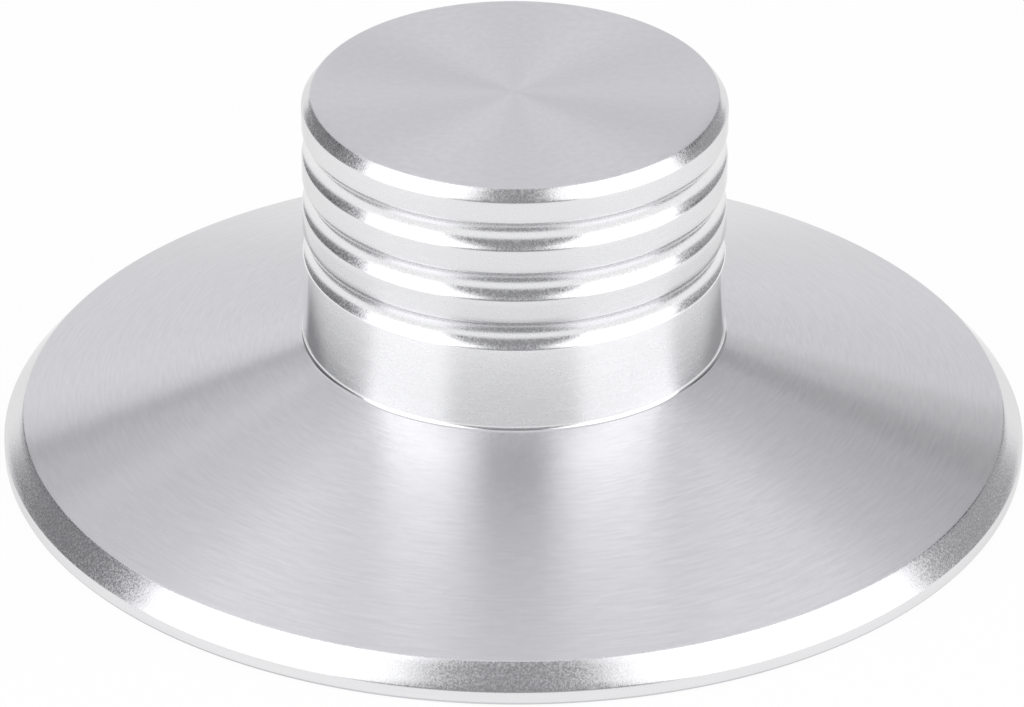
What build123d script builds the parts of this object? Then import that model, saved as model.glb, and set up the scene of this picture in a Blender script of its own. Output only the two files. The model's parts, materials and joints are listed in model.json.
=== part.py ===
from build123d import *
import os
from math import radians, sqrt, tan

# Record weight: one piece of aluminium, turned from round bar. It stands on a record's label, with the
# turntable's spindle in its bore. Its half section lies in the XZ plane and is turned about Z.
# The resting face is at Z = 0, with the origin at its centre. Lengths are in millimetres.

# Base: an upright rim, a bevel, and a shallow cone that climbs to the foot of the knob
base_diameter = 78.0
rim_height = 1.15
rim_bevel_width = 1.5
rim_bevel_height = 1.75
cone_height = 6.75
edge_break = 0.2

# Knob: a plain band at the foot, finger grooves above it, and a land below the bevelled top edge
knob_diameter = 32.0
foot_radius = 0.4
plain_band = 6.75
top_land = 1.75
top_bevel_width = 0.7
top_bevel_height = 0.9

# Finger grooves: round-bottomed, all alike
groove_count = 3
groove_radius = 1.5
groove_depth = 0.5
groove_pitch = 4.15

# Spindle bore: a blind drilled hole with a bevelled mouth
spindle_diameter = 7.15
spindle_clearance = 0.125
bore_depth = 18.0
drill_point_angle = 118.0
mouth_bevel = 0.5

# Radii and heights that follow from the sizes above
base_radius = base_diameter / 2
knob_radius = knob_diameter / 2
bore_radius = spindle_diameter / 2 + spindle_clearance
drill_tip = bore_depth + bore_radius / tan(radians(drill_point_angle / 2))
cone_foot = rim_height + rim_bevel_height
cone_top = cone_foot + cone_height
groove_width = 2 * sqrt(groove_depth * (2 * groove_radius - groove_depth))
lowest_groove = cone_top + plain_band + groove_width / 2
groove_heights = [lowest_groove + index * groove_pitch for index in range(groove_count)]
bevel_foot = groove_heights[-1] + groove_width / 2 + top_land
top_height = bevel_foot + top_bevel_height


def half_section() -> Sketch:
    """Draws the turned section: the bore and resting face, then up the outside to the middle of the top."""
    with BuildSketch(Plane.XZ) as section:
        with BuildLine():
            Polyline(
                (0, drill_tip),
                (bore_radius, bore_depth),
                (bore_radius, mouth_bevel),
                (bore_radius + mouth_bevel, 0),
                (base_radius - edge_break, 0),
                (base_radius, edge_break),
                (base_radius, rim_height),
                (base_radius - rim_bevel_width, cone_foot),
                (knob_radius, cone_top),
                (knob_radius, bevel_foot),
                (knob_radius - top_bevel_width, top_height),
                (0, top_height),
                close=True,
            )
        make_face()
        foot_corner = section.vertices().sort_by_distance((knob_radius, 0, cone_top))[0]
        fillet(foot_corner, foot_radius)
        groove_centre = knob_radius - groove_depth + groove_radius
        with Locations(*[(groove_centre, height) for height in groove_heights]):
            Circle(groove_radius, mode=Mode.SUBTRACT)
    return section.sketch


def weight_body() -> Part:
    """Turns the half section about Z into the finished solid."""
    with BuildPart() as body:
        add(half_section())
        revolve(axis=Axis.Z)
    return body.part


os.makedirs("parts", exist_ok=True)
export_step(weight_body(), "parts/weight_body.step")
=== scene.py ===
"""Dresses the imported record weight: one piece of turned aluminium on a pale studio floor."""

import json
import logging
from dataclasses import dataclass, replace
from enum import Enum
from math import acos, atan2, cos, pi, radians, sin, sqrt, tan, tau

import bmesh
import bpy
from mathutils import Matrix, Vector


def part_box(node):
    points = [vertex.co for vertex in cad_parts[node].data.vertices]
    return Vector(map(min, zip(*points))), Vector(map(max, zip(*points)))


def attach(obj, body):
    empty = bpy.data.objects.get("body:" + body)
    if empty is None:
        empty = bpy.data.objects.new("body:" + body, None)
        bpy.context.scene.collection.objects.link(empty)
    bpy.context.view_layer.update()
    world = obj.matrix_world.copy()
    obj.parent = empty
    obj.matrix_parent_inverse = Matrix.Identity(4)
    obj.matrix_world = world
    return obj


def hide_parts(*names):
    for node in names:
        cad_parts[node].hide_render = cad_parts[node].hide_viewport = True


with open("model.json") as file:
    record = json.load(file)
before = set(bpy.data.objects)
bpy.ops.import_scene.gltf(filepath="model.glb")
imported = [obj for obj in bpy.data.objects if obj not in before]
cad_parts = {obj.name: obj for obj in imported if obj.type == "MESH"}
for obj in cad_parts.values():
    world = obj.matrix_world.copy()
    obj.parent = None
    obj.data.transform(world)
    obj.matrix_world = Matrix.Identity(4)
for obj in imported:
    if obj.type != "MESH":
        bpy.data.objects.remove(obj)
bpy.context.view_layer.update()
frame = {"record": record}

MM = 0.001
NODE = "weight_body"
PIECE = "turned_weight"
BODY = "root"

# Noise keeps to the middle of its range, so the finishes stretch this part of it.
NOISE_MIDDLE = (0.3, 0.7)
RING_DETAIL = 0.5
# How much a place's height counts against its radius in its way along the section.
HEIGHT_SHARE = 2.0
# Turned metal grows glossier over this part of Layer Weight's range, towards a grazing view.
GRAZING = (0.6, 0.8)
# Spreads the gloss across the rings and not along them.
QUARTER_TURN = 0.25
CIRCLE_SEGMENTS = 64
HALF_UNIT = 0.5

Colour = tuple[float, float, float]
Direction = tuple[float, float, float]
log = logging.getLogger("record_weight")


class Zone(Enum):
    """The surfaces that the lathe leaves on the weight, each with its own cut. The value is its slot."""

    TOP = 0
    TOP_BEVEL = 1
    LAND = 2
    GROOVE = 3
    BAND = 4
    FOOT = 5
    CONE = 6
    RIM_BEVEL = 7
    RIM = 8
    UNDERSIDE = 9
    BORE = 10


class NodePen:
    """Adds nodes to a material's or a world's tree and links them."""

    def __init__(self, owner: bpy.types.Material | bpy.types.World) -> None:
        """Starts an empty tree.

        Args:
            owner: the material or world whose nodes are drawn.
        """
        owner.use_nodes = True
        self.tree = owner.node_tree
        self.tree.nodes.clear()

    def add(self, kind: str, **settings: object) -> bpy.types.Node:
        """Adds a node and sets its own properties.

        Args:
            kind: the node's Blender type name.
            settings: the node's properties by name.

        Returns:
            The new node.
        """
        node = self.tree.nodes.new(kind)
        for name, value in settings.items():
            setattr(node, name, value)
        return node

    def feed(self, socket: bpy.types.NodeSocket, value: object) -> None:
        """Links a socket to another socket, or sets it to a plain value.

        Args:
            socket: the input socket.
            value: an output socket to link from, or a number, colour or vector.
        """
        if isinstance(value, bpy.types.NodeSocket):
            self.tree.links.new(value, socket)
        else:
            socket.default_value = value

    def math(self, operation: str, first: object, second: object) -> bpy.types.NodeSocket:
        """Adds a Math node.

        Args:
            operation: the Math node's operation.
            first: a socket or a number.
            second: a socket or a number.

        Returns:
            The result's socket.
        """
        node = self.add("ShaderNodeMath", operation=operation)
        self.feed(node.inputs[0], first)
        self.feed(node.inputs[1], second)
        return node.outputs["Value"]

    def vector(self, operation: str, first: object, second: object = (0, 0, 0)) -> bpy.types.Node:
        """Adds a Vector Math node.

        Args:
            operation: the Vector Math node's operation.
            first: a socket or a vector.
            second: a socket or a vector, where the operation takes two.

        Returns:
            The node, whose result is in its Vector or Value socket.
        """
        node = self.add("ShaderNodeVectorMath", operation=operation)
        self.feed(node.inputs[0], first)
        self.feed(node.inputs[1], second)
        return node

    def noise(self, place: object, scale: float, detail: float) -> bpy.types.NodeSocket:
        """Adds a 3-D noise texture.

        Args:
            place: the socket that gives the place.
            scale: the number of blobs for each unit of the place.
            detail: the number of finer layers.

        Returns:
            The noise's socket, from 0 to 1.
        """
        node = self.add("ShaderNodeTexNoise", noise_dimensions="3D")
        self.feed(node.inputs["Vector"], place)
        self.feed(node.inputs["Scale"], scale)
        self.feed(node.inputs["Detail"], detail)
        return node.outputs["Fac"]

    def ramp(
        self, value: object, start: float, end: float, low: float = 0.0, high: float = 1.0
    ) -> bpy.types.NodeSocket:
        """Maps one range of values to another and stops at its ends.

        Args:
            value: the socket to map.
            start: the value that becomes low.
            end: the value that becomes high.
            low: the result at the start.
            high: the result at the end.

        Returns:
            The result's socket.
        """
        node = self.add("ShaderNodeMapRange")
        for name, number in (("From Min", start), ("From Max", end), ("To Min", low), ("To Max", high)):
            node.inputs[name].default_value = number
        self.feed(node.inputs["Value"], value)
        return node.outputs["Result"]

    def blend(self, share: object, first: Colour, second: Colour) -> bpy.types.NodeSocket:
        """Mixes two colours.

        Args:
            share: the socket that gives the second colour's share.
            first: the colour at 0.
            second: the colour at 1.

        Returns:
            The colour's socket.
        """
        node = self.add("ShaderNodeMix", data_type="RGBA")
        self.feed(node.inputs["Factor"], share)
        colours = [socket for socket in node.inputs if socket.type == "RGBA"]
        for socket, colour in zip(colours, (first, second)):
            socket.default_value = (*colour, 1)
        return next(socket for socket in node.outputs if socket.type == "RGBA")


@dataclass(frozen=True)
class TurnedFinish:
    """Bare aluminium as the tool leaves it: fine rings round the axis, with a little grain on them."""

    name: str
    pale: Colour = (0.81, 0.81, 0.82)
    dull: Colour = (0.79, 0.79, 0.80)
    roughness: float = 0.36
    roughness_spread: float = 0.015
    grazing_gloss: float = 0.35
    edge_tint: Colour = (0.86, 0.86, 0.86)
    anisotropy: float = 0.85
    ring_pitch: float = 0.6 * MM
    ring_depth: float = 0.001 * MM
    ring_breaks: float = 6.0
    grain_size: float = 0.3 * MM
    grain_detail: float = 0.5
    grain_depth: float = 0.0003 * MM
    grain_share: float = 0.3

    def material(self) -> bpy.types.Material:
        """Draws the finish as a material on the weight's own coordinates.

        Returns:
            The material.
        """
        material = bpy.data.materials.new(self.name)
        pen = NodePen(material)
        place = pen.add("ShaderNodeTexCoord").outputs["Object"]
        rings = self.rings(pen, place)
        grain = pen.noise(place, 1 / self.grain_size, self.grain_detail)

        shader = pen.add("ShaderNodeBsdfPrincipled")
        shader.inputs["Metallic"].default_value = 1.0
        shader.inputs["Specular Tint"].default_value = (*self.edge_tint, 1)
        shader.inputs["Anisotropic"].default_value = self.anisotropy
        shader.inputs["Anisotropic Rotation"].default_value = QUARTER_TURN
        around = pen.vector("CROSS_PRODUCT", (0, 0, 1), place).outputs["Vector"]
        pen.feed(shader.inputs["Tangent"], pen.vector("NORMALIZE", around).outputs["Vector"])
        low, high = self.roughness - self.roughness_spread, self.roughness + self.roughness_spread
        facing = pen.add("ShaderNodeLayerWeight").outputs["Facing"]
        gloss = pen.ramp(facing, *GRAZING, 1.0, self.grazing_gloss)
        grain_part = pen.math("MULTIPLY", grain, self.grain_share)
        ring_part = pen.math("MULTIPLY", rings, 1 - self.grain_share)
        mottle = pen.ramp(pen.math("ADD", grain_part, ring_part), *NOISE_MIDDLE)
        pen.feed(shader.inputs["Roughness"], pen.math("MULTIPLY", pen.ramp(mottle, 0, 1, low, high), gloss))
        pen.feed(shader.inputs["Base Color"], pen.blend(mottle, self.dull, self.pale))

        ring_height = pen.math("MULTIPLY", rings, self.ring_depth)
        grain_height = pen.math("MULTIPLY", grain, self.grain_depth)
        bump = pen.add("ShaderNodeBump")
        bump.inputs["Strength"].default_value = 1.0
        bump.inputs["Distance"].default_value = 1.0
        pen.feed(bump.inputs["Height"], pen.math("ADD", ring_height, grain_height))
        pen.feed(shader.inputs["Normal"], bump.outputs["Normal"])
        pen.feed(pen.add("ShaderNodeOutputMaterial").inputs["Surface"], shader.outputs["BSDF"])
        return material

    def rings(self, pen: NodePen, place: bpy.types.NodeSocket) -> bpy.types.NodeSocket:
        """Draws the tool's rings: noise that changes fast along the section and slowly round the axis.

        Args:
            pen: the pen that draws the material.
            place: the socket that gives the place on the weight.

        Returns:
            The rings' socket, from 0 to 1.
        """
        flat = pen.vector("MULTIPLY", place, (1, 1, 0)).outputs["Vector"]
        radius = pen.vector("LENGTH", flat).outputs["Value"]
        apart = pen.add("ShaderNodeSeparateXYZ")
        pen.feed(apart.inputs["Vector"], place)
        along = pen.math("SUBTRACT", radius, pen.math("MULTIPLY", apart.outputs["Z"], HEIGHT_SHARE))
        turn = pen.vector("NORMALIZE", flat).outputs["Vector"]
        turn = pen.vector("MULTIPLY", turn, (self.ring_breaks, self.ring_breaks, 0)).outputs["Vector"]
        lift = pen.add("ShaderNodeCombineXYZ")
        pen.feed(lift.inputs["Z"], pen.math("DIVIDE", along, self.ring_pitch))
        spot = pen.vector("ADD", turn, lift.outputs["Vector"]).outputs["Vector"]
        return pen.noise(spot, scale=1.0, detail=RING_DETAIL)


SATIN_CUT = TurnedFinish(
    "cut_rim_bevel",
    pale=(0.84, 0.84, 0.85),
    dull=(0.76, 0.76, 0.77),
    roughness=0.25,
    roughness_spread=0.08,
    anisotropy=0.3,
    ring_depth=0.0,
    grain_size=0.165 * MM,
    grain_detail=1.0,
    grain_depth=0.003 * MM,
    grain_share=1.0,
)
FACED_CUT = TurnedFinish(
    "faced_top",
    pale=(0.81, 0.81, 0.82),
    dull=(0.76, 0.76, 0.77),
    roughness=0.35,
    roughness_spread=0.03,
    anisotropy=0.82,
    ring_pitch=0.5 * MM,
    ring_depth=0.003 * MM,
    ring_breaks=20.0,
)
FINISHES: dict[Zone, TurnedFinish] = {
    Zone.TOP: FACED_CUT,
    Zone.TOP_BEVEL: replace(SATIN_CUT, name="cut_top_bevel"),
    Zone.LAND: TurnedFinish("turned_land", roughness=0.27, anisotropy=0.5),
    Zone.GROOVE: replace(
        SATIN_CUT,
        name="cut_groove",
        pale=(0.86, 0.86, 0.87),
        dull=(0.78, 0.78, 0.79),
        edge_tint=(0.95, 0.95, 0.95),
    ),
    # Painted light: the band is the same turned aluminium as the lands, given a paler colour and edge tint
    # so that it shows brighter.
    Zone.BAND: TurnedFinish(
        "turned_band_painted_bright",
        pale=(0.93, 0.93, 0.94),
        dull=(0.91, 0.91, 0.92),
        roughness=0.27,
        anisotropy=0.5,
        edge_tint=(1.0, 1.0, 1.0),
    ),
    Zone.FOOT: TurnedFinish("cut_foot", roughness=0.10, anisotropy=0.0),
    Zone.CONE: TurnedFinish(
        "turned_cone",
        pale=(0.825, 0.825, 0.835),
        dull=(0.775, 0.775, 0.785),
        roughness=0.24,
        roughness_spread=0.006,
        anisotropy=1.0,
        edge_tint=(0.88, 0.88, 0.88),
        ring_pitch=0.3 * MM,
        ring_depth=0.0002 * MM,
        ring_breaks=14.0,
    ),
    Zone.RIM_BEVEL: SATIN_CUT,
    Zone.RIM: TurnedFinish("turned_rim", roughness=0.26, anisotropy=0.4),
    Zone.UNDERSIDE: replace(
        FACED_CUT,
        name="faced_underside",
        dull=(0.73, 0.73, 0.74),
        roughness_spread=0.05,
        ring_pitch=0.6 * MM,
        ring_breaks=1.0,
    ),
    Zone.BORE: TurnedFinish("drilled_bore"),
}


class SectionPen:
    """Draws the half section in the XZ plane, as one open chain of edges from the axis to the axis."""

    def __init__(self, mesh: bmesh.types.BMesh, radius: float, height: float) -> None:
        """Puts the pen down.

        Args:
            mesh: the bmesh that takes the chain.
            radius: the first point's distance from the axis.
            height: the first point's height.
        """
        self.mesh = mesh
        self.tip = mesh.verts.new((radius, 0, height))

    def line_to(self, radius: float, height: float, parts: int = 1) -> None:
        """Draws a straight line.

        Args:
            radius: the end's distance from the axis.
            height: the end's height.
            parts: the number of equal parts that it is divided into.
        """
        start, end = self.tip.co.copy(), Vector((radius, 0, height))
        for part in range(1, parts + 1):
            self.tip = bmesh.ops.extrude_vert_indiv(self.mesh, verts=[self.tip])["verts"][0]
            self.tip.co = start.lerp(end, part / parts)

    def arc(self, radius: float, height: float, angle: float, parts: int) -> None:
        """Draws an arc round a centre.

        Args:
            radius: the centre's distance from the axis.
            height: the centre's height.
            angle: the arc's angle in radians, from upwards to outwards where it is positive.
            parts: the number of straight parts that it is drawn in.
        """
        turned = bmesh.ops.spin(
            self.mesh, geom=[self.tip], cent=(radius, 0, height), axis=(0, 1, 0), angle=angle, steps=parts
        )
        self.tip = turned["geom_last"][0]


@dataclass
class WeightBody:
    """The whole weight, turned from one bar: a grooved knob on a shallow cone with a bevelled rim."""

    base_radius: float
    top_height: float
    bore_radius: float
    bore_depth: float
    rim_height: float = 1.15 * MM
    rim_bevel_width: float = 1.5 * MM
    rim_bevel_height: float = 1.75 * MM
    edge_break: float = 0.2 * MM
    cone_height: float = 6.75 * MM
    knob_radius: float = 16.0 * MM
    foot_radius: float = 0.4 * MM
    top_land: float = 1.75 * MM
    top_bevel_width: float = 0.7 * MM
    top_bevel_height: float = 0.9 * MM
    groove_count: int = 3
    groove_radius: float = 1.5 * MM
    groove_depth: float = 0.5 * MM
    groove_pitch: float = 4.15 * MM
    mouth_bevel: float = 0.5 * MM
    drill_point_angle: float = radians(118.0)
    corner_break: float = 0.1 * MM
    corner_segments: int = 3
    merge_distance: float = 0.005 * MM
    sharp_angle: float = radians(20.0)
    turn_steps: int = 288
    face_parts: int = 16
    drill_point_parts: int = 4
    bore_parts: int = 8
    rim_parts: int = 2
    rim_bevel_parts: int = 4
    foot_parts: int = 10
    wall_parts: int = 4
    groove_parts: int = 18
    top_land_parts: int = 3
    top_bevel_parts: int = 3

    @classmethod
    def from_frame(cls) -> "WeightBody":
        """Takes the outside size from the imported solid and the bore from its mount.

        Returns:
            The weight at the frame's size.
        """
        low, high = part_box(NODE)
        bore = next(mount["dims"] for mount in frame["record"]["mounts"] if mount["kind"] == "bore")
        return cls(
            base_radius=(high.x - low.x) / 2,
            top_height=high.z,
            bore_radius=bore["r_mm"] * MM,
            bore_depth=bore["length_mm"] * MM + cls.mouth_bevel,
        )

    @property
    def cone_foot(self) -> float:
        """The height where the rim's bevel meets the cone."""
        return self.rim_height + self.rim_bevel_height

    @property
    def cone_top(self) -> float:
        """The height where the cone would meet the knob's wall."""
        return self.cone_foot + self.cone_height

    @property
    def cone_slope(self) -> float:
        """The cone's angle above the floor."""
        return atan2(self.cone_height, self.base_radius - self.rim_bevel_width - self.knob_radius)

    @property
    def foot_reach(self) -> float:
        """The distance from the cone's upper end to where the inside radius starts and ends."""
        return self.foot_radius * tan((pi / 2 - self.cone_slope) / 2)

    @property
    def foot_height(self) -> float:
        """The height where the inside radius leaves the cone."""
        return self.cone_top - self.foot_reach * sin(self.cone_slope)

    @property
    def bevel_foot(self) -> float:
        """The height where the knob's wall meets the top bevel."""
        return self.top_height - self.top_bevel_height

    @property
    def drill_tip(self) -> float:
        """The height of the bore's pointed end."""
        return self.bore_depth + self.bore_radius / tan(self.drill_point_angle / 2)

    @property
    def groove_half_width(self) -> float:
        """Half of a groove's width at the wall."""
        return sqrt(self.groove_depth * (2 * self.groove_radius - self.groove_depth))

    @property
    def groove_heights(self) -> list[float]:
        """The grooves' middles, from the lowest up."""
        highest = self.bevel_foot - self.top_land - self.groove_half_width
        return [highest - index * self.groove_pitch for index in reversed(range(self.groove_count))]

    def draw_section(self, mesh: bmesh.types.BMesh) -> None:
        """Draws the half section: up the bore and back, under the base, and up the outside to the top.

        Args:
            mesh: the bmesh that takes the chain.
        """
        pen = SectionPen(mesh, 0, self.drill_tip)
        pen.line_to(self.bore_radius, self.bore_depth, self.drill_point_parts)
        pen.line_to(self.bore_radius, self.mouth_bevel, self.bore_parts)
        pen.line_to(self.bore_radius + self.mouth_bevel, 0)
        pen.line_to(self.base_radius - self.edge_break, 0, self.face_parts)
        pen.line_to(self.base_radius, self.edge_break)
        pen.line_to(self.base_radius, self.rim_height, self.rim_parts)
        pen.line_to(self.base_radius - self.rim_bevel_width, self.cone_foot, self.rim_bevel_parts)
        self.draw_foot(pen)
        self.draw_grooves(pen)
        pen.line_to(self.knob_radius, self.bevel_foot, self.top_land_parts)
        pen.line_to(self.knob_radius - self.top_bevel_width, self.top_height, self.top_bevel_parts)
        pen.line_to(0, self.top_height, self.face_parts)

    def draw_foot(self, pen: SectionPen) -> None:
        """Draws the cone and the small inside radius that blends it into the knob's wall.

        Args:
            pen: the pen, at the cone's outer edge.
        """
        start = self.knob_radius + self.foot_reach * cos(self.cone_slope)
        pen.line_to(start, self.foot_height, self.face_parts)
        turn = pi / 2 - self.cone_slope
        middle = self.cone_top + self.foot_reach
        pen.arc(self.knob_radius + self.foot_radius, middle, turn, self.foot_parts)

    def draw_grooves(self, pen: SectionPen) -> None:
        """Draws the plain band and the lands with the round-bottomed finger grooves between them.

        Args:
            pen: the pen, at the foot of the wall.
        """
        stand_off = self.groove_radius - self.groove_depth
        sweep = 2 * acos(stand_off / self.groove_radius)
        for height in self.groove_heights:
            pen.line_to(self.knob_radius, height - self.groove_half_width, self.wall_parts)
            pen.arc(self.knob_radius + stand_off, height, sweep, self.groove_parts)

    def zone_at(self, radius: float, height: float) -> Zone:
        """Finds the surface that a face belongs to.

        Args:
            radius: the distance of the face's middle from the axis.
            height: the height of the face's middle.

        Returns:
            The surface.
        """
        hair = self.corner_break / 2
        if radius < self.bore_radius + self.mouth_bevel and height < self.drill_tip:
            return Zone.BORE
        if radius > self.knob_radius + hair:
            steps = [
                (hair, Zone.UNDERSIDE),
                (self.rim_height, Zone.RIM),
                (self.cone_foot, Zone.RIM_BEVEL),
                (self.foot_height, Zone.CONE),
            ]
            return next((zone for limit, zone in steps if height < limit), Zone.FOOT)
        if height < hair:
            return Zone.UNDERSIDE
        if height > self.top_height - hair:
            return Zone.TOP
        if height > self.bevel_foot:
            return Zone.TOP_BEVEL
        if any(abs(height - middle) < self.groove_half_width for middle in self.groove_heights):
            return Zone.GROOVE
        return Zone.BAND if height < self.groove_heights[0] else Zone.LAND

    def build(self) -> bpy.types.Object:
        """Turns the section about Z, breaks its sharp edges and sorts its faces into zones.

        Returns:
            The weight's object, at the origin.
        """
        mesh = bmesh.new()
        self.draw_section(mesh)
        bmesh.ops.spin(
            mesh,
            geom=mesh.verts[:] + mesh.edges[:],
            cent=(0, 0, 0),
            axis=(0, 0, 1),
            angle=tau,
            steps=self.turn_steps,
            use_merge=True,
        )
        bmesh.ops.remove_doubles(mesh, verts=mesh.verts[:], dist=self.merge_distance)
        bmesh.ops.recalc_face_normals(mesh, faces=mesh.faces[:])
        sharp = [edge for edge in mesh.edges if edge.calc_face_angle(0) > self.sharp_angle]
        bmesh.ops.bevel(
            mesh,
            geom=sharp,
            offset=self.corner_break,
            offset_type="OFFSET",
            affect="EDGES",
            segments=self.corner_segments,
            profile=0.5,
            material=-1,
        )
        for face in mesh.faces:
            middle = face.calc_center_median()
            face.material_index = self.zone_at(middle.xy.length, middle.z).value
            face.smooth = True
        data = bpy.data.meshes.new(PIECE)
        mesh.to_mesh(data)
        mesh.free()
        weight = bpy.data.objects.new(PIECE, data)
        bpy.context.scene.collection.objects.link(weight)
        weight.modifiers.new("true_flats", "WEIGHTED_NORMAL")
        return weight

    def dress(self, weight: bpy.types.Object) -> None:
        """Gives each zone its finish and sets the weight in the frame.

        Args:
            weight: the weight's object.
        """
        for zone in Zone:
            weight.data.materials.append(FINISHES[zone].material())
        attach(weight, BODY)
        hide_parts(NODE)


def toward(azimuth: float, elevation: float) -> Vector:
    """Points from the weight to a place in the room.

    Args:
        azimuth: degrees round from the camera's side, towards the camera's right.
        elevation: degrees above the floor.

    Returns:
        The unit vector.
    """
    turn, rise = radians(azimuth), radians(elevation)
    return Vector((sin(turn) * cos(rise), -cos(turn) * cos(rise), sin(rise)))


@dataclass(frozen=True)
class Panel:
    """A flat panel that stands round the weight. Its place and lean are in degrees, its size in metres."""

    name: str
    azimuth: float
    elevation: float
    lean: float
    width: float
    height: float
    colour: Colour
    distance: float = 1.5

    def place(self) -> Matrix:
        """Works out the matrix that stands the panel in its place, with its back outwards.

        Returns:
            The panel's world matrix.
        """
        turned = toward(self.azimuth, self.lean).to_track_quat("Z", "Y").to_matrix().to_4x4()
        return Matrix.Translation(toward(self.azimuth, self.elevation) * self.distance) @ turned


class Softbox(Panel):
    """A large soft lamp. Its colour is its brightness as a mirror shows it."""

    def build(self) -> bpy.types.Object:
        """Makes the lamp.

        Returns:
            The lamp's object.
        """
        light = bpy.data.lights.new(self.name, "AREA")
        light.shape = "RECTANGLE"
        light.size, light.size_y = self.width, self.height
        light.energy = self.width * self.height * pi
        light.color = self.colour
        lamp = bpy.data.objects.new(self.name, light)
        lamp.matrix_world = self.place()
        bpy.context.scene.collection.objects.link(lamp)
        return lamp


class Card(Panel):
    """A grey card that only reflections show, as a photographer sets one to draw a metal's edges."""

    def outline(self, mesh: bmesh.types.BMesh) -> None:
        """Draws the card's outline, one unit across."""
        bmesh.ops.create_grid(mesh, x_segments=1, y_segments=1, size=HALF_UNIT)

    def build(self) -> bpy.types.Object:
        """Makes the card.

        Returns:
            The card's object.
        """
        mesh = bmesh.new()
        self.outline(mesh)
        bmesh.ops.scale(mesh, vec=(self.width, self.height, 1), verts=mesh.verts[:])
        data = bpy.data.meshes.new(self.name)
        mesh.to_mesh(data)
        mesh.free()
        material = bpy.data.materials.new(self.name)
        pen = NodePen(material)
        glow = pen.add("ShaderNodeEmission")
        glow.inputs["Color"].default_value = (*self.colour, 1)
        pen.feed(pen.add("ShaderNodeOutputMaterial").inputs["Surface"], glow.outputs["Emission"])
        data.materials.append(material)
        card = bpy.data.objects.new(self.name, data)
        card.matrix_world = self.place()
        card.visible_camera = False
        card.visible_diffuse = False
        card.visible_shadow = False
        bpy.context.scene.collection.objects.link(card)
        return card


class RoundCard(Card):
    """A card with a round outline."""

    def outline(self, mesh: bmesh.types.BMesh) -> None:
        """Draws the card's outline, one unit across."""
        bmesh.ops.create_circle(mesh, cap_ends=True, segments=CIRCLE_SEGMENTS, radius=HALF_UNIT)


PALE_CLOTH: Colour = (0.82, 0.815, 0.84)
LEFT_CLOTH: Colour = (0.80, 0.795, 0.82)
LEFT_GREY: Colour = (0.22, 0.22, 0.23)
RIGHT_GREY: Colour = (0.36, 0.36, 0.37)
NEAR_BLACK: Colour = (0.04, 0.04, 0.04)


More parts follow.
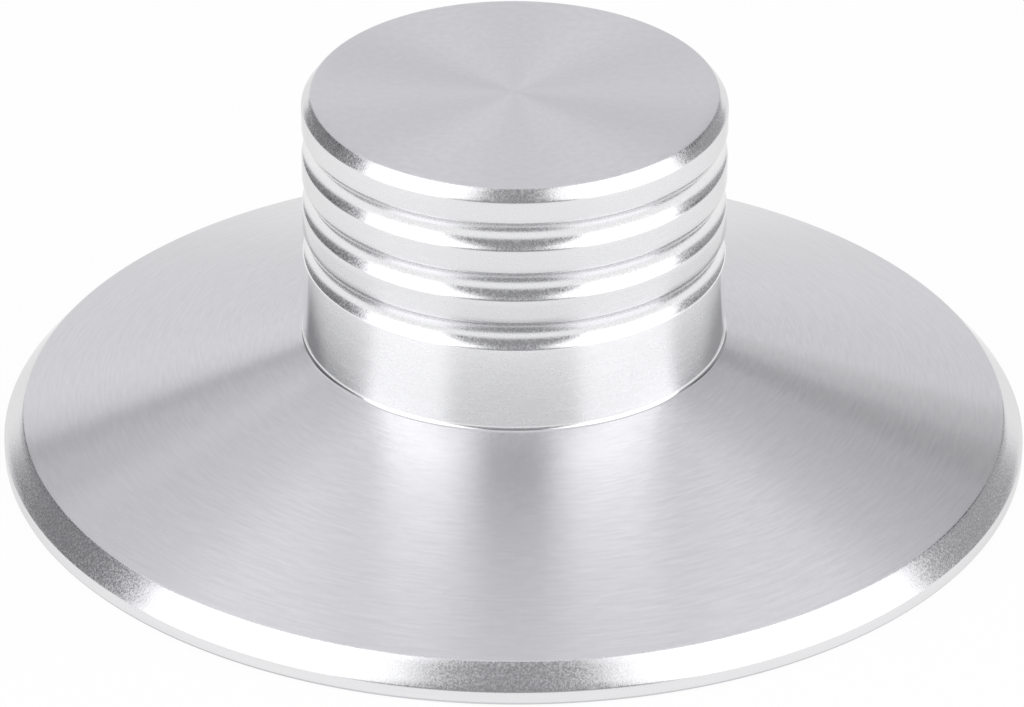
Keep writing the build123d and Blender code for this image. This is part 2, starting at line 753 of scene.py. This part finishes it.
@dataclass(frozen=True)
class Studio:
    """A pale room with a white floor and, round the weight, what its metal mirrors.

    A soft lamp stands at each side in front, with grey cards and dark strips beside and behind it. The
    round cards at the back have their edges where one line across the cone mirrors them, so they draw a
    sharp crease at each side of it.
    """

    room_overhead: Colour = (0.76, 0.755, 0.785)
    room_low: Colour = (0.54, 0.535, 0.56)
    room_rise: tuple[float, float] = (0.45, 0.85)
    room_up: Direction = (-0.2, 0.0, 1.0)
    floor_radius: float = 6.0
    floor_drop: float = 0.02 * MM
    floor_colour: Colour = (0.92, 0.92, 0.92)
    floor_glow: float = 0.93
    contact_gap: float = 0.4 * MM
    panels: tuple[Panel, ...] = (
        Softbox("left_softbox", -57.5, 29.5, 35, 0.365, 0.47, (1.15, 1.15, 1.15), distance=0.39),
        Softbox("right_softbox", 62.7, 30.7, 30, 0.38, 0.38, (1.17, 1.17, 1.17), distance=0.33),
        Card("front_card", 0, 31, 31, 2.6, 2.16, (0.30, 0.30, 0.31), distance=1.8),
        Card("left_card", -111, 19, 15, 0.291, 0.23, LEFT_GREY, distance=0.4),
        Card("left_end", -136, 14.5, 11, 0.075, 0.165, LEFT_GREY, distance=0.4),
        Card("right_card", 116, 20.5, 15, 0.248, 0.26, RIGHT_GREY, distance=0.4),
        Card("right_end", 139.5, 15, 11, 0.098, 0.17, RIGHT_GREY, distance=0.4),
        Card("left_shade", -121, 29, 25, 0.164, 0.062, NEAR_BLACK, distance=0.37),
        Card("right_shade", 122, 29, 25, 0.164, 0.062, NEAR_BLACK, distance=0.37),
        RoundCard("backdrop", 180, 0, 0, 2.0, 2.0, PALE_CLOTH, distance=1.6),
        RoundCard("left_backdrop", -168.6, 0, 0, 2.115, 2.115, LEFT_CLOTH, distance=1.8),
        RoundCard("right_backdrop", 168.1, 0, 0, 2.125, 2.125, (0.67, 0.665, 0.685), distance=1.8),
        RoundCard("left_crease", -164.1, 0, 0, 2.29, 2.29, (0.46, 0.455, 0.47), distance=1.85),
        RoundCard("right_crease", 159.6, 0, 0, 2.46, 2.46, RIGHT_GREY, distance=1.85),
        Card("left_fill", -153, 37.3, 37.3, 0.60, 0.14, LEFT_CLOTH, distance=1.7),
        Card("right_fill", 163, 22.5, 22.5, 0.29, 0.236, (0.66, 0.655, 0.675), distance=1.5),
        Card("back_strip", 180, 43.5, 43.5, 0.30, 0.58, PALE_CLOTH, distance=1.75),
    )

    def build(self) -> None:
        """Lights the room, stands the panels in it and lays the floor."""
        world = bpy.data.worlds.new("pale_room")
        pen = NodePen(world)
        ray = pen.add("ShaderNodeTexCoord").outputs["Generated"]
        height = pen.vector("DOT_PRODUCT", ray, self.room_up).outputs["Value"]
        rise = pen.ramp(pen.math("MAXIMUM", height, pen.math("MULTIPLY", height, -1)), *self.room_rise)
        room = pen.add("ShaderNodeBackground")
        pen.feed(room.inputs["Color"], pen.blend(rise, self.room_low, self.room_overhead))
        pen.feed(pen.add("ShaderNodeOutputWorld").inputs["Surface"], room.outputs["Background"])
        bpy.context.scene.world = world
        bpy.context.scene.view_settings.view_transform = "Standard"
        for panel in self.panels:
            log.info("stage: %s", panel.build().name)
        log.info("stage: %s", self.lay_floor().name)

    def lay_floor(self) -> bpy.types.Object:
        """Lays a round white floor just under the weight.

        Returns:
            The floor's object.
        """
        mesh = bmesh.new()
        bmesh.ops.create_circle(mesh, cap_ends=True, segments=CIRCLE_SEGMENTS, radius=self.floor_radius)
        bmesh.ops.translate(mesh, vec=(0, 0, -self.floor_drop), verts=mesh.verts[:])
        data = bpy.data.meshes.new("studio_floor")
        mesh.to_mesh(data)
        mesh.free()
        data.materials.append(self.floor_paint())
        floor = bpy.data.objects.new("studio_floor", data)
        bpy.context.scene.collection.objects.link(floor)
        return floor

    def floor_paint(self) -> bpy.types.Material:
        """Makes the floor's white: it glows to the eye and to reflections, and shows a faint shadow.

        It is clear from below. It is also clear to a reflection that starts right at it, so that the
        rim stands dark on its contact: painted contact shade, as the darker room below shows through.

        Returns:
            The material.
        """
        material = bpy.data.materials.new("white_floor")
        pen = NodePen(material)
        path = pen.add("ShaderNodeLightPath").outputs
        seen = pen.math("MAXIMUM", path["Is Camera Ray"], path["Is Glossy Ray"])
        seen = pen.math("MAXIMUM", seen, path["Is Transmission Ray"])
        matt = pen.add("ShaderNodeBsdfDiffuse")
        matt.inputs["Color"].default_value = (*self.floor_colour, 1)
        glow = pen.add("ShaderNodeEmission")
        mixed = pen.add("ShaderNodeMixShader")
        pen.feed(mixed.inputs[0], pen.math("MULTIPLY", seen, self.floor_glow))
        pen.feed(mixed.inputs[1], matt.outputs["BSDF"])
        pen.feed(mixed.inputs[2], glow.outputs["Emission"])
        clear = pen.add("ShaderNodeBsdfTransparent")
        sided = pen.add("ShaderNodeMixShader")
        # Painted contact shade: a glossy ray that starts within contact_gap of the floor sees the darker
        # room below.
        contact = pen.math("LESS_THAN", path["Ray Length"], self.contact_gap)
        contact = pen.math("MULTIPLY", contact, path["Is Glossy Ray"])
        below = pen.add("ShaderNodeNewGeometry").outputs["Backfacing"]
        pen.feed(sided.inputs[0], pen.math("MAXIMUM", below, contact))
        pen.feed(sided.inputs[1], mixed.outputs["Shader"])
        pen.feed(sided.inputs[2], clear.outputs["BSDF"])
        pen.feed(pen.add("ShaderNodeOutputMaterial").inputs["Surface"], sided.outputs["Shader"])
        return material


@dataclass(frozen=True)
class PhotoCamera:
    """The camera at the photograph's viewing angle. Angles are in degrees and lens sizes in millimetres."""

    distance: float = 0.52779
    elevation: float = 30.010
    yaw: float = -0.015
    pitch: float = 0.678
    roll: float = 0.247
    lens: float = 241.54
    sensor_width: float = 36.0

    def build(self) -> bpy.types.Object:
        """Makes the camera and hands it to the scene.

        Returns:
            The camera's object.
        """
        data = bpy.data.cameras.new("photo_camera")
        data.lens, data.sensor_width, data.sensor_fit = self.lens, self.sensor_width, "HORIZONTAL"
        camera = bpy.data.objects.new("photo_camera", data)
        outward = toward(0, self.elevation)
        aim = outward.to_track_quat("Z", "Y").to_matrix().to_4x4()
        yaw = Matrix.Rotation(radians(-self.yaw), 4, "Y")
        pitch = Matrix.Rotation(radians(self.pitch), 4, "X")
        roll = Matrix.Rotation(radians(self.roll), 4, "Z")
        camera.matrix_world = Matrix.Translation(outward * self.distance) @ aim @ yaw @ pitch @ roll
        bpy.context.scene.collection.objects.link(camera)
        bpy.context.scene.camera = camera
        return camera


def main() -> None:
    """Builds the weight, its studio and the camera, and reports each."""
    logging.basicConfig(level=logging.INFO, format="%(message)s")
    body = WeightBody.from_frame()
    weight = body.build()
    body.dress(weight)
    log.info("piece: %s, %d faces", weight.name, len(weight.data.polygons))
    Studio().build()
    log.info("camera: %s", PhotoCamera().build().name)


if __name__ == "__main__":
    main()
